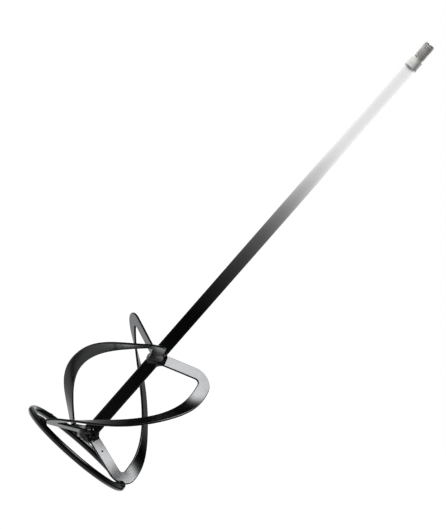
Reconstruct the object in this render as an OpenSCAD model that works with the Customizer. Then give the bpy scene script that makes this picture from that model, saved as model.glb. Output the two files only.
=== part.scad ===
// Mortar mixing paddle: a welded assembly of a tubular shaft with a screwed
// spindle end, three identical flat-bar mixing blades bent into a right-handed
// helix, and a round-rod ring under the blades that keeps them off the bucket.
//
// Frame: millimetres, +Z up along the shaft, origin on the shaft axis in the
// plane the ring stands on. +X runs along the lower arm of the first blade.

/* [Shaft] */
// Length over everything, from the ring's underside to the tip of the thread
overall_len = 600; // [560:5:700]
// Outside diameter of the shaft tube
shaft_d = 15; // [14.6:0.1:16]
// Wall thickness of the shaft tube
shaft_wall = 2.5; // [2:0.25:3]
// Height of the shaft's lower end above the ring's underside
shaft_foot_z = 16.5; // [15:0.5:20]

/* [Spindle end] */
// Major diameter of the male spindle thread (M14)
thread_d = 14; // [12:0.5:14.5]
// Length of the spindle thread, with its run-out groove and its tip chamfer
thread_len = 22; // [18:1:30]
// Length of the shoulder that carries the wrench flats
shoulder_len = 12; // [10:1:16]
// Distance across the wrench flats
wrench_af = 13; // [12.5:0.1:14]
// Depth to which the spigot's plug enters the tube
plug_len = 30; // [20:1:40]

/* [Ring] */
// Outside diameter of the ring
ring_od = 140; // [138:0.5:142]
// Diameter of the round rod the ring is bent from
ring_rod_d = 8; // [7.8:0.1:8.2]

/* [Blades] */
// Width of the flat bar at its arms and corners
blade_w = 15.2; // [13:0.1:16]
// Width of the bar in the twisted stretch between its corners
blade_mid_w = 14.6; // [12.5:0.1:15.4]
// Thickness of the bar
blade_t = 2.5; // [2:0.1:3]
// Inside radius of the two bends in the plane of the bar
corner_r = 4; // [3:0.5:6]
// Height at which the lower arms meet the shaft axis
lower_hub_z = 26.9; // [26.6:0.1:29]
// Height at which the upper arms meet the shaft axis
upper_hub_z = 138.8; // [134:0.1:144]
// Fall of the lower arms from the shaft to their outer ends
lower_slope = 15.3; // [14:0.1:15.6]
// Rise of the upper arms from the shaft to their outer ends
upper_slope = 15; // [13:0.1:17]
// Pitch of the lower arms: turn of their width away from the vertical
lower_pitch = 53.2; // [50:0.1:56]
// Pitch of the upper arms
upper_pitch = 51.9; // [49:0.1:55]
// Length of a lower arm from the shaft axis to the point of its corner
lower_arm_len = 69.1; // [67:0.1:70]
// Length of an upper arm from the shaft axis to the point of its corner
upper_arm_len = 68; // [66:0.1:70]
// Turn of the bar in its own plane at the lower corner
lower_turn = 110.2; // [106:0.1:114]
// Turn of the bar in its own plane at the upper corner
upper_turn = 108.7; // [105:0.1:113]
// How far each blade winds round the shaft from its lower to its upper arm
wind = 161.1; // [155:0.1:167]
// Distance of the paint-hook hole in each lower arm from the shaft axis
hook_hole_at = 25.5; // [20:0.5:40]
// Diameter of the paint-hook hole
hook_hole_d = 2; // [1.5:0.1:3]

/* [Welds] */
// Leg of the fillet welds round the arm roots
weld_leg = 4.2; // [3:0.1:4.6]
// Height of the small beads above the metal they join
bead_h = 0.6; // [0.4:0.1:1]

/* [Hidden] */

paint = [0.07, 0.07, 0.075];
weld_paint = [0.10, 0.10, 0.105];
steel = [0.62, 0.62, 0.60];

turned_fn = 96;     // facets of the shaft and turned parts
ring_fn = 180;      // facets round the ring
rod_fn = 48;        // facets round the ring's rod

fit_gap = 0.02;     // gap at the plugs and at the arm root welds
bead_gap = 0.01;    // gap under the spigot weld and the ring's welds
cope_gap = 0.05;    // gap between a blade's ends and the shaft

shaft_r = shaft_d / 2;
bore_r = shaft_r - shaft_wall;
plug_r = bore_r - fit_gap;
thread_z = overall_len - thread_len;          // seat of the mating spindle
tube_top_z = thread_z - shoulder_len;
shoulder_chamfer = 0.6;                       // at the shoulder's lower edge
slug_z = shaft_foot_z + 1.2;                  // underside of the lower end plug
rod_r = ring_rod_d / 2;
ring_r = ring_od / 2 - rod_r;
blade_gap = 120;                              // angle between neighbouring blades

// ---------- directions and cylindrical coordinates ----------
function unit(v) = v / norm(v);
function out_dir(az) = [cos(az), sin(az), 0];
function round_dir(az) = [-sin(az), cos(az), 0];
function radius_of(point) = norm([point.x, point.y]);
function azimuth_of(point) = atan2(point.y, point.x);

// ---------- arms and corners of the blade at azimuth 0 ----------
function arm_dir(az, slope) = cos(slope) * out_dir(az) + [0, 0, sin(slope)];
function arm_lift(az, slope) = -sin(slope) * out_dir(az) + [0, 0, cos(slope)];
// direction across the arm, in the plane of the bar
function arm_across(az, slope, pitch) =
    cos(pitch) * arm_lift(az, slope) + sin(pitch) * round_dir(az);

lower_dir = arm_dir(0, -lower_slope);
lower_across = arm_across(0, -lower_slope, lower_pitch);
upper_dir = arm_dir(wind, upper_slope);
upper_across = arm_across(wind, upper_slope, upper_pitch);

// each arm: [hub height, direction outwards, direction to the inside of its bend,
//            length to the point of the corner, turn at the corner]
lower_arm = [lower_hub_z, lower_dir, lower_across, lower_arm_len, lower_turn];
upper_arm = [upper_hub_z, upper_dir, -upper_across, upper_arm_len, upper_turn];

bend_r = corner_r + blade_w / 2;    // bend radius of the bar's centre line
function along_arm(arm, dist) = [0, 0, arm[0]] + dist * arm[1];
function bend_centre(arm) =
    along_arm(arm, arm[3] - bend_r * tan(arm[4] / 2)) + bend_r * arm[2];
// after a turn of the given angle: direction away from the arm, direction to
// the inside of the bend, and place on the centre line
function bend_dir(arm, angle) = cos(angle) * arm[1] + sin(angle) * arm[2];
function bend_inside(arm, angle) = cos(angle) * arm[2] - sin(angle) * arm[1];
function bend_pos(arm, angle) = bend_centre(arm) - bend_r * bend_inside(arm, angle);

// ---------- twisted stretch; q runs from 0 at the lower corner to 1 at the upper ----------
mid_start = bend_pos(lower_arm, lower_turn);
mid_end = bend_pos(upper_arm, upper_turn);
start_dir = bend_dir(lower_arm, lower_turn);
end_dir = -bend_dir(upper_arm, upper_turn);
start_az = azimuth_of(mid_start);
end_az = azimuth_of(mid_end) + (azimuth_of(mid_end) < start_az ? 360 : 0);
turn_rad = (end_az - start_az) * PI / 180;

// departures from the plain curve: a hump, and a sway one way and then the other
radius_hump = 0.18;
radius_sway = 0.38;
height_hump = 0.6;
height_sway = -2;
roll_hump = -0.3;        // degrees
roll_sway = 12.6;        // degrees
start_flare = 1.01;      // factor on the radius's slope at the lower corner
dir_step = 0.005;        // step in q for the direction of travel
taper_share = 0.25;      // share of the stretch at each end where the width changes

// slopes of radius and of height over q at a point travelled in a direction
function angle_rate(point, dir) = dir * round_dir(azimuth_of(point)) / radius_of(point);
function radius_slope(point, dir) =
    dir * out_dir(azimuth_of(point)) / angle_rate(point, dir) * turn_rad;
function height_slope(point, dir) = dir.z / angle_rate(point, dir) * turn_rad;
radius_slopes = [start_flare * radius_slope(mid_start, start_dir),
                 radius_slope(mid_end, end_dir)];
height_slopes = [height_slope(mid_start, start_dir), height_slope(mid_end, end_dir)];

// cubic between two values with given end slopes
function blend(q, from, to, slopes) =
    (2*q*q*q - 3*q*q + 1) * from + (q*q*q - 2*q*q + q) * slopes[0]
    + (-2*q*q*q + 3*q*q) * to + (q*q*q - q*q) * slopes[1];
function ease(q) = q * q * (3 - 2 * q);
function hump(q) = pow(sin(180 * q), 2);
function sway(q) = sin(360 * q) * sin(180 * q);

function mid_pos(q) =
    let (radius = blend(q, radius_of(mid_start), radius_of(mid_end), radius_slopes)
             + radius_hump * hump(q) + radius_sway * sway(q),
         height = blend(q, mid_start.z, mid_end.z, height_slopes)
             + height_hump * hump(q) + height_sway * sway(q))
    radius * out_dir(start_az + q * (end_az - start_az)) + [0, 0, height];
function mid_dir(q) =
    q <= 0 ? start_dir : q >= 1 ? end_dir :
    unit(mid_pos(min(1, q + dir_step)) - mid_pos(max(0, q - dir_step)));

// inward radial direction square to the path, and its partner
function inward(q) =
    let (travel = mid_dir(q), out = out_dir(azimuth_of(mid_pos(q))))
    unit(-out + (out * travel) * travel);
function partner(q) = cross(mid_dir(q), inward(q));
function roll_of(across, q) = atan2(across * partner(q), across * inward(q));
start_roll = roll_of(bend_inside(lower_arm, lower_turn), 0);
end_roll = roll_of(bend_inside(upper_arm, upper_turn), 1);
function mid_across(q) =
    let (roll = start_roll + (end_roll - start_roll) * ease(q)
             + roll_hump * hump(q) + roll_sway * sway(q))
    cos(roll) * inward(q) + sin(roll) * partner(q);
function mid_width(q) =
    blade_w + (blade_mid_w - blade_w) * ease(min(1, min(q, 1 - q) / taper_share));

// ---------- stations: [centre, direction of travel, inward across, width] ----------
mid_steps = 60;
bend_steps = 14;
arm_start = 3;      // the bar starts inside the shaft and is coped to it

// way is 1 where the bar is travelled away from the shaft, -1 towards it
function root_station(arm, way) =
    [along_arm(arm, arm_start), way * arm[1], arm[2], blade_w];
function bend_station(arm, step, way) =
    let (angle = arm[4] * step / bend_steps)
    [bend_pos(arm, angle), way * bend_dir(arm, angle), bend_inside(arm, angle), blade_w];
function mid_station(q) = [mid_pos(q), mid_dir(q), mid_across(q), mid_width(q)];

stations = concat(
    [root_station(lower_arm, 1)],
    [for (k = [0 : bend_steps]) bend_station(lower_arm, k, 1)],
    [for (k = [1 : mid_steps - 1]) mid_station(k / mid_steps)],
    [for (k = [bend_steps : -1 : 0]) bend_station(upper_arm, k, -1)],
    [root_station(upper_arm, -1)]);

// ---------- blades ----------
// bar section with its long edges broken by a small chamfer
bar_chamfer = 0.5;
function section(width, thickness) =
    let (x = width / 2, y = thickness / 2, c = bar_chamfer)
    [[-x + c, -y], [x - c, -y], [x, -y + c], [x, y - c],
     [x - c, y], [-x + c, y], [-x, y - c], [-x, -y + c]];
function placed_section(station, thickness) =
    let (across = station[2], normal = cross(station[1], across))
    [for (c = section(station[3], thickness)) station[0] + c.x * across + c.y * normal];

// the bar from one station to another, both included
module bar(thickness, from = 0, to = len(stations) - 1) {
    spans = to - from;
    points = [for (j = [from : to]) each placed_section(stations[j], thickness)];
    sides = [for (j = [0 : spans - 1], k = [0 : 7])
        let (a = 8*j + k, b = 8*j + (k + 1) % 8)
        each [[a, a + 8, b + 8], [a, b + 8, b]]];
    start_cap = [for (k = [0 : 7]) k];
    end_cap = [for (k = [7 : -1 : 0]) 8 * spans + k];
    polyhedron(points = points, faces = concat(sides, [start_cap, end_cap]), convexity = 10);
}

// brings the arm's own frame (x out along the arm, y across, z through) into place
module on_arm(hub_z, dir, across) {
    normal = cross(dir, across);
    multmatrix([[dir.x, across.x, normal.x, 0],
                [dir.y, across.y, normal.y, 0],
                [dir.z, across.z, normal.z, hub_z],
                [0, 0, 0, 1]])
        children();
}

// cutter that shapes a part to the shaft round an arm's hub
module shaft_cutter(hub_z, gap, height) {
    translate([0, 0, hub_z - height / 2]) cylinder(r = shaft_r + gap, h = height, $fn = turned_fn);
}

module mixing_blade(i) {
    color(paint) rotate(i * blade_gap) difference() {
        bar(blade_t);
        shaft_cutter(lower_hub_z, cope_gap, 40);
        shaft_cutter(upper_hub_z, cope_gap, 40);
        on_arm(lower_hub_z, lower_dir, lower_across)
            translate([hook_hole_at, 0, -blade_t])
                cylinder(d = hook_hole_d, h = 2 * blade_t, $fn = 32);
    }
}

// ---------- arm root welds ----------
// ball at one corner of the weld: half extents y and z are to the ball's outside
module weld_ball(x, y, z, r) {
    translate([x, y - sign(y) * r, z - sign(z) * r]) sphere(r = r, $fn = 16);
}

// fillet weld round an arm root: a skirt between the arm and the shaft
module root_weld(hub_z, dir, across) {
    inner_x = 5.2;                          // within the shaft, cut away below
    inner_y = blade_w / 2 + weld_leg * 0.5;
    inner_z = blade_t / 2 + weld_leg;
    outer_x = shaft_r + weld_leg - 0.3;
    outer_y = blade_w / 2 + 0.3;
    outer_z = blade_t / 2 + 0.4;
    color(weld_paint) difference() {
        on_arm(hub_z, dir, across) hull() {
            for (sy = [-1, 1], sz = [-1, 1]) {
                weld_ball(inner_x, sy * inner_y, sz * inner_z, r = 1.8);
                weld_ball(outer_x, sy * outer_y, sz * outer_z, r = 0.8);
            }
        }
        shaft_cutter(hub_z, fit_gap, 50);
        on_arm(hub_z, dir, across)
            translate([0, -blade_w / 2 - fit_gap, -blade_t / 2 - fit_gap])
                cube([30, blade_w + 2 * fit_gap, blade_t + 2 * fit_gap]);
    }
}

module lower_arm_weld(i) {
    rotate(i * blade_gap) root_weld(lower_hub_z, lower_dir, lower_across);
}

module upper_arm_weld(i) {
    rotate(i * blade_gap) root_weld(upper_hub_z, upper_dir, upper_across);
}

// ---------- shaft ----------
module shaft_tube() {
    tube_len = tube_top_z - shaft_foot_z;
    color(paint) difference() {
        translate([0, 0, shaft_foot_z]) cylinder(r = shaft_r, h = tube_len, $fn = turned_fn);
        translate([0, 0, shaft_foot_z - 1]) cylinder(r = bore_r, h = tube_len + 2, $fn = turned_fn);
    }
}

// turned spigot: plug, shoulder with two wrench flats, run-out groove, thread
module threaded_spigot() {
    thread_r = thread_d / 2;
    plug_chamfer = 1;
    seat_chamfer = 0.4;
    groove_r = thread_r - 1.3;
    tip_chamfer = 1.4;
    flat_cut = 10;          // thickness of the block that cuts a flat
    color(steel) difference() {
        rotate_extrude($fn = turned_fn) polygon([
            [0, tube_top_z - plug_len],
            [bore_r - plug_chamfer, tube_top_z - plug_len],
            [plug_r, tube_top_z - plug_len + plug_chamfer],
            [plug_r, tube_top_z],
            [shaft_r - shoulder_chamfer, tube_top_z],
            [shaft_r, tube_top_z + shoulder_chamfer],
            [shaft_r, thread_z - seat_chamfer],
            [shaft_r - seat_chamfer, thread_z],
            [groove_r, thread_z],
            [groove_r, thread_z + 1.5],
            [thread_r, thread_z + 2.8],
            [thread_r, overall_len - tip_chamfer],
            [thread_r - tip_chamfer, overall_len],
            [0, overall_len]]);
        for (side = [-1, 1])
            translate([side * (wrench_af + flat_cut) / 2 - flat_cut / 2, -12, tube_top_z + 2.5])
                cube([flat_cut, 24, shoulder_len - 4]);
    }
}

// one run of weld round the seam between the tube and the spigot's shoulder
module spigot_weld() {
    root_depth = 0.7;       // depth of the bead's centre below the shaft's surface
    cut_r = shaft_r + bead_gap;
    color(weld_paint) rotate_extrude($fn = turned_fn) difference() {
        translate([shaft_r - root_depth, tube_top_z + 0.2])
            circle(r = root_depth + bead_h, $fn = 32);
        // outline of the tube and the chamfered shoulder
        polygon([
            [0, tube_top_z - 3],
            [cut_r, tube_top_z - 3],
            [cut_r, tube_top_z - bead_gap],
            [bore_r, tube_top_z - bead_gap],
            [bore_r, tube_top_z + bead_gap],
            [cut_r - shoulder_chamfer, tube_top_z - bead_gap],
            [cut_r, tube_top_z + shoulder_chamfer - bead_gap],
            [cut_r, tube_top_z + 3],
            [0, tube_top_z + 3]]);
    }
}

// slug that closes the tube's lower end against wet mortar
module lower_end_plug() {
    color(paint) translate([0, 0, slug_z]) cylinder(r = plug_r, h = 6, $fn = turned_fn);
}

// weld that seals the slug, laid as a low dome in the mouth of the tube
module end_plug_weld() {
    dome_h = 1.1;
    color(weld_paint) rotate_extrude($fn = turned_fn) polygon(concat(
        [[0, slug_z - fit_gap], [plug_r, slug_z - fit_gap]],
        [for (k = [0 : 10]) [plug_r * cos(9 * k), shaft_foot_z - dome_h * sin(9 * k)]]));
}

// ---------- ring ----------
butt_at = 150;       // azimuth of the butt joint
butt_gap = 0.8;      // angle left between the rod's ends

// arc of the ring's rod, centred on z = 0
module rod_arc(start, sweep, gap = 0) {
    rotate(start) rotate_extrude(angle = sweep, $fn = ring_fn)
        translate([ring_r, 0]) circle(r = rod_r + gap, $fn = rod_fn);
}

// round rod bent to a circle, its ends meeting with a narrow gap
module bottom_ring() {
    color(paint) translate([0, 0, rod_r]) rod_arc(butt_at + butt_gap / 2, 360 - butt_gap);
}

// bead that fills the gap and stands proud of the rod, flat at the ring's underside
module ring_butt_weld() {
    bead_sweep = 4;
    color(weld_paint) translate([0, 0, rod_r]) difference() {
        rotate(butt_at - bead_sweep / 2) rotate_extrude(angle = bead_sweep, $fn = ring_fn)
            translate([ring_r, 0]) difference() {
                circle(r = rod_r + bead_h * 0.7, $fn = rod_fn);
                translate([-10, -20 - rod_r]) square([20, 20]);
            }
        rod_arc(butt_at + butt_gap / 2, 360 - butt_gap, bead_gap);
    }
}

// weld between a blade's lower corner and the crown of the ring: three short
// runs that follow the ring, cut back to the ring's and the blade's surfaces
// each entry: azimuth, distance outside the rod's centre line, height above
// the ring's crown, radius of the run
ring_runs = [
    [-12, -0.6, -0.9, 1.3],
    [-4, -1.2, 0, 2.5],
    [4, 0.6, 0.4, 2.6],
    [12, 1.6, -0.6, 1.4]];
module ring_weld(i) {
    color(weld_paint) rotate(i * blade_gap) difference() {
        union() for (k = [0 : 2]) hull() for (run = [ring_runs[k], ring_runs[k + 1]])
            translate((ring_r + run[1]) * out_dir(run[0]) + [0, 0, ring_rod_d + run[2]])
                sphere(r = run[3], $fn = 20);
        translate([0, 0, rod_r]) rod_arc(-40, 80, bead_gap);
        // the lower corner and a little of the twisted stretch
        bar(blade_t + 2 * bead_gap, 1, bend_steps + 4);
    }
}

shaft_tube();
threaded_spigot();
spigot_weld();
lower_end_plug();
end_plug_weld();
bottom_ring();
ring_butt_weld();
mixing_blade(0);  // mixing_blade_1
mixing_blade(1);  // mixing_blade_2
mixing_blade(2);  // mixing_blade_3
lower_arm_weld(0);  // lower_arm_weld_1
lower_arm_weld(1);  // lower_arm_weld_2
lower_arm_weld(2);  // lower_arm_weld_3
upper_arm_weld(0);  // upper_arm_weld_1
upper_arm_weld(1);  // upper_arm_weld_2
upper_arm_weld(2);  // upper_arm_weld_3
ring_weld(0);  // ring_weld_1
ring_weld(1);  // ring_weld_2
ring_weld(2);  // ring_weld_3
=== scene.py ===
# Mixing paddle: an upright shaft with three twisted flat-bar blades, a round-rod ring at
# the foot and a threaded steel end at the top. The axis is world Z and the ring stands
# on z = 0. Shapes are worked out in millimetres and built in metres. Each blade is drawn
# for azimuth 0 (+X) and turned into place.
import math

import bpy
import numpy as np
from mathutils import Matrix, Vector, noise


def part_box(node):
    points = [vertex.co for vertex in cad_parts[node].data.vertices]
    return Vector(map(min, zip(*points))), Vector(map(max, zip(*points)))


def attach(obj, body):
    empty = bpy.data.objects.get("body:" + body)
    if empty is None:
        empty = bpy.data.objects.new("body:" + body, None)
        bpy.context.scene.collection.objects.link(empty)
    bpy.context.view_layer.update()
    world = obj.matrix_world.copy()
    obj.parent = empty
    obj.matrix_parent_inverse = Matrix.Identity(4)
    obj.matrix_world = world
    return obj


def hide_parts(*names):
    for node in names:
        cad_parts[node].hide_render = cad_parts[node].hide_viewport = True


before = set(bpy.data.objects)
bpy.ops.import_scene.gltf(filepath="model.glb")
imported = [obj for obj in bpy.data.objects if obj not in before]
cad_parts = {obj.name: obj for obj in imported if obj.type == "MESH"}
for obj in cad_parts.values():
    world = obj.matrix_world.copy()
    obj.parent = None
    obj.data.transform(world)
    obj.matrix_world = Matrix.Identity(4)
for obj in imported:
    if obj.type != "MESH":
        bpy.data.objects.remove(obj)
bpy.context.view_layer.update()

MM = 0.001
TAU = 2*math.pi

# ------------------------------------------------------------------ sizes (mm, degrees)
ring_lo, ring_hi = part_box("bottom_ring")
ROD_R = (ring_hi.z - ring_lo.z) / 2 / MM
RING_R = (ring_hi.y - ring_lo.y) / MM / 2 - ROD_R    # to the rod's centre line
tube_lo, tube_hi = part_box("shaft_tube")
SHAFT_R = (tube_hi.x - tube_lo.x) / 2 / MM
FOOT_Z, TUBE_TOP = tube_lo.z / MM, tube_hi.z / MM
BORE_R = SHAFT_R - 2.5
TIP_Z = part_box("threaded_spigot")[1].z / MM
THREAD_Z = TIP_Z - 22.0                              # where the thread begins
THREAD_R = 7.0
THREAD_PITCH = 2.0
FLATS = 13.0                                         # across the spanner flats

BLADE_W, BLADE_MID_W, BLADE_T = 15.2, 14.6, 2.5
EDGE_R = 0.95                                        # rolled edges of the flat bar
BEND_R = 4.0 + BLADE_W / 2                           # inner corner radius + half the width
BLADE_START = 6.6                                    # blade ends, along the arm from the axis
HOOK_AT, HOOK_D = 25.5, 2.0                          # small hole through the lower arm
HOOK_PANEL = 2.4                                     # half length of the panel round it
LOWER_ARM = dict(hub_z=26.9, azimuth=0, slope=-15.3, pitch=53.2, length=69.1, turn=110.2, side=1)
UPPER_ARM = dict(hub_z=138.8, azimuth=161.1, slope=15.0, pitch=51.9, length=68.0, turn=108.7,
                 side=-1)

VIEW_TURN = math.radians(-15.81)    # turning by this brings the camera's heading onto +Y


# ------------------------------------------------------------------ vectors and curves
def unit(v):
    v = np.asarray(v, float)
    return v / np.linalg.norm(v, axis=-1, keepdims=True)


def radial(azimuth):
    return np.array([math.cos(azimuth), math.sin(azimuth), 0.0])


def tangential(azimuth):
    return np.array([-math.sin(azimuth), math.cos(azimuth), 0.0])


def turn_z(points, angle):
    c, s = math.cos(angle), math.sin(angle)
    points = np.asarray(points, float)
    turned = points.copy()
    turned[..., 0] = c * points[..., 0] - s * points[..., 1]
    turned[..., 1] = s * points[..., 0] + c * points[..., 1]
    return turned


def hermite(q, start, end, start_slope, end_slope):
    return ((2*q**3 - 3*q**2 + 1)*start + (q**3 - 2*q**2 + q)*start_slope
            + (-2*q**3 + 3*q**2)*end + (q**3 - q**2)*end_slope)


# ------------------------------------------------------------------ the blade's path
class Arm:
    """Straight arm out of the hub and the flat bend at its end."""

    def __init__(self, hub_z, azimuth, slope, pitch, length, turn, side):
        azimuth, slope, pitch = (math.radians(x) for x in (azimuth, slope, pitch))
        outward, up = radial(azimuth), np.array([0, 0, 1.0])
        lift = -math.sin(slope) * outward + math.cos(slope) * up
        self.hub = np.array([0, 0, hub_z])
        self.along = math.cos(slope) * outward + math.sin(slope) * up
        self.across = side * (math.cos(pitch) * lift + math.sin(pitch) * tangential(azimuth))
        self.turn = math.radians(turn)
        run = BEND_R * math.tan(self.turn / 2)       # from tangent point to apex
        apex = self.hub + length * self.along
        self.straight = length - run
        self.centre = apex - run * self.along + BEND_R * self.across
        self.exit_dir = self.bend_dir(self.turn)
        self.exit = apex + run * self.exit_dir

    def bend_point(self, a):
        return self.centre + BEND_R*(math.sin(a)*self.along - math.cos(a)*self.across)

    def bend_dir(self, a):
        return math.cos(a)*self.along + math.sin(a)*self.across

    def bend_across(self, a):
        return math.cos(a)*self.across - math.sin(a)*self.along


def cylindrical(point, direction):
    """Radius, azimuth and height of a point, and their rates along a direction."""
    radius, azimuth = math.hypot(point[0], point[1]), math.atan2(point[1], point[0])
    return (radius, azimuth, point[2], direction @ radial(azimuth),
            direction @ tangential(azimuth) / radius, direction[2])


def hump_sway(q):
    """Symmetric and antisymmetric bulges, both zero at q = 0 and 1."""
    return math.sin(math.pi*q)**2, math.sin(TAU*q)*math.sin(math.pi*q)


class MidSpan:
    """Twisted stretch between the two bends; q runs from 0 at the lower to 1 at the upper."""

    def __init__(self, lower, upper):
        self.start_dir, self.end_dir = lower.exit_dir, -upper.exit_dir
        r0, t0, z0, dr0, dt0, dz0 = cylindrical(lower.exit, self.start_dir)
        r1, t1, z1, dr1, dt1, dz1 = cylindrical(upper.exit, self.end_dir)
        if t1 < t0:
            t1 += TAU
        self.azimuth, self.sweep = t0, t1 - t0
        # ends and end slopes; the lower end flares out by an extra 1 %
        self.radius = (r0, r1, 1.01*dr0/dt0*self.sweep, dr1/dt1*self.sweep)
        self.height = (z0, z1, dz0/dt0*self.sweep, dz1/dt1*self.sweep)
        self.roll0 = self.roll_of(lower.bend_across(lower.turn), 0.0)
        self.roll1 = self.roll_of(upper.bend_across(upper.turn), 1.0)

    def point(self, q):
        hump, sway = hump_sway(q)
        radius = hermite(q, *self.radius) + 0.18*hump + 0.38*sway
        z = hermite(q, *self.height) + 0.6*hump - 2*sway
        azimuth = self.azimuth + q*self.sweep
        return np.array([radius*math.cos(azimuth), radius*math.sin(azimuth), z])

    def travel(self, q):
        if q <= 0:
            return self.start_dir
        if q >= 1:
            return self.end_dir
        step = 0.005
        return unit(self.point(min(1, q + step)) - self.point(max(0, q - step)))

    def axes(self, q):
        """Towards the shaft, square to the path, and the third direction."""
        point, travel = self.point(q), self.travel(q)
        outward = radial(math.atan2(point[1], point[0]))
        inward = unit(-outward + (outward @ travel)*travel)
        return inward, np.cross(travel, inward)

    def roll_of(self, across, q):
        inward, normal = self.axes(q)
        return math.atan2(across @ normal, across @ inward)

    def across(self, q):
        hump, sway = hump_sway(q)
        roll = (self.roll0 + (self.roll1 - self.roll0)*(3*q*q - 2*q**3)
                + math.radians(-0.3*hump + 12.6*sway))
        inward, normal = self.axes(q)
        return math.cos(roll)*inward + math.sin(roll)*normal


LOWER, UPPER = Arm(**LOWER_ARM), Arm(**UPPER_ARM)
MID = MidSpan(LOWER, UPPER)


# ------------------------------------------------------------------ mesh helpers
def new_mesh(name, verts_mm, faces, material):
    mesh = bpy.data.meshes.new(name)
    points = [tuple(v) for v in np.asarray(verts_mm, float) * MM]
    mesh.from_pydata(points, [], [tuple(int(i) for i in f) for f in faces])
    mesh.materials.append(material)
    return mesh


def new_object(name, data):
    ob = bpy.data.objects.new(name, data)
    bpy.context.scene.collection.objects.link(ob)
    return ob


def add_piece(name, verts_mm, faces, material, replaces, normals=None, sharp=None):
    """Smooth-shaded piece of the product; edges over `sharp` degrees stay crisp."""
    mesh = new_mesh(name, verts_mm, faces, material)
    mesh.validate(clean_customdata=False)
    for polygon in mesh.polygons:
        polygon.use_smooth = True
    if sharp is not None:
        mesh.set_sharp_from_angle(angle=math.radians(sharp))
    if normals is not None:
        mesh.normals_split_custom_set_from_vertices([tuple(n) for n in unit(normals)])
    mesh.update()
    ob = new_object(name, mesh)
    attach(ob, "root")
    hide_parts(*replaces)


def add_weld(name, verts_mm, faces, replaced, sharp=None):
    add_piece(name, verts_mm, faces, PAINT_WELD, (replaced,), sharp=sharp)


def closed_grid_faces(rows, columns, flip=False):
    """Faces of a rows by columns grid of points that closes on itself both ways."""
    faces = []
    for j in range(rows):
        for k in range(columns):
            k2, j2 = (k+1) % columns, (j+1) % rows
            a, b, c, d = j*columns + k, j*columns + k2, j2*columns + k2, j2*columns + k
            faces.append((a, d, c, b) if flip else (a, b, c, d))
    return faces


def lathe(profile, segments, radius_at=None):
    """Turned surface from a profile [(radius, z)]; a zero radius is one point on the axis.

    radius_at(angle, radius, z) may change the radius."""
    verts, faces, rows = [], [], []
    for r, z in profile:
        if r < 1e-9:
            rows.append([len(verts)])
            verts.append((0, 0, z))
            continue
        rows.append(list(range(len(verts), len(verts) + segments)))
        for k in range(segments):
            angle = TAU*k/segments
            here = radius_at(angle, r, z) if radius_at else r
            verts.append((here*math.cos(angle), here*math.sin(angle), z))
    for a, b in zip(rows, rows[1:]):
        for k in range(segments):
            k2 = (k+1) % segments
            if len(a) == 1:
                faces.append((a[0], b[k2], b[k]))
            elif len(b) == 1:
                faces.append((a[k], a[k2], b[0]))
            else:
                faces.append((a[k], a[k2], b[k2], b[k]))
    return np.array(verts), faces


def torus(ring_radius, z, steps_round, steps_across, tube_radius):
    """Torus about the axis; tube_radius(angle round, angle across) sets its thickness."""
    verts = []
    for j in range(steps_round):
        a = TAU*j/steps_round
        for k in range(steps_across):
            b = TAU*k/steps_across
            r = tube_radius(a, b)
            out = ring_radius + r*math.cos(b)
            verts.append((out*math.cos(a), out*math.sin(a), z + r*math.sin(b)))
    return np.array(verts), closed_grid_faces(steps_round, steps_across, flip=True)


# ------------------------------------------------------------------ shader helpers
def empty_tree(owner):
    owner.use_nodes = True
    owner.node_tree.nodes.clear()
    return owner.node_tree


def node(tree, kind, inputs=None, **settings):
    """New node; each input is either a socket to link or a value."""
    made = tree.nodes.new(kind)
    for key, value in settings.items():
        setattr(made, key, value)
    for key, value in (inputs or {}).items():
        if isinstance(value, bpy.types.NodeSocket):
            tree.links.new(value, made.inputs[key])
        else:
            made.inputs[key].default_value = value
    return made


def noise_texture(tree, vector, scale, detail, rough):
    return node(tree, "ShaderNodeTexNoise", {
        "Scale": scale, "Detail": detail, "Roughness": rough, "Vector": vector}).outputs["Fac"]


def remap(tree, value, span, to=(0, 1)):
    return node(tree, "ShaderNodeMapRange", {
        "From Min": span[0], "From Max": span[1], "To Min": to[0], "To Max": to[1],
        "Value": value}).outputs["Result"]


def calc(tree, operation, *values):
    made = node(tree, "ShaderNodeMath", dict(enumerate(values)), operation=operation)
    return made.outputs[0]


def mix_color(tree, factor, a, b):
    return node(tree, "ShaderNodeMix", {0: factor, 6: a, 7: b}, data_type="RGBA").outputs[2]


def mix_value(tree, factor, a, b):
    return node(tree, "ShaderNodeMix", {0: factor, 2: a, 3: b}, data_type="FLOAT").outputs[0]


def bump(tree, height, strength, distance_mm, under=None):
    inputs = {"Strength": strength, "Distance": distance_mm * MM, "Height": height}
    if under is not None:
        inputs["Normal"] = under
    return node(tree, "ShaderNodeBump", inputs).outputs["Normal"]


def object_position(tree):
    return node(tree, "ShaderNodeTexCoord").outputs["Object"]


def split(tree, vector):
    return node(tree, "ShaderNodeSeparateXYZ", {0: vector}).outputs


def split_in_view(tree, vector):
    """x, y, z of a vector turned about Z so that the camera looks along +Y."""
    turned = node(tree, "ShaderNodeVectorRotate", {"Angle": VIEW_TURN, "Vector": vector},
                  rotation_type="Z_AXIS")
    return split(tree, turned.outputs[0])


def ramp(tree, factor, stops, gain):
    """Brightness against a factor: stops are (position, value), held divided by gain."""
    made = node(tree, "ShaderNodeValToRGB", {0: factor})
    elements = made.color_ramp.elements
    while len(elements) > 1:
        elements.remove(elements[-1])
    elements[0].position = stops[0][0]
    for k, (position, value) in enumerate(stops):
        element = elements[0] if k == 0 else elements.new(position)
        element.color = (value/gain, value/gain, value/gain, 1)
    return calc(tree, "MULTIPLY", made.outputs[0], gain)


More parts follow.
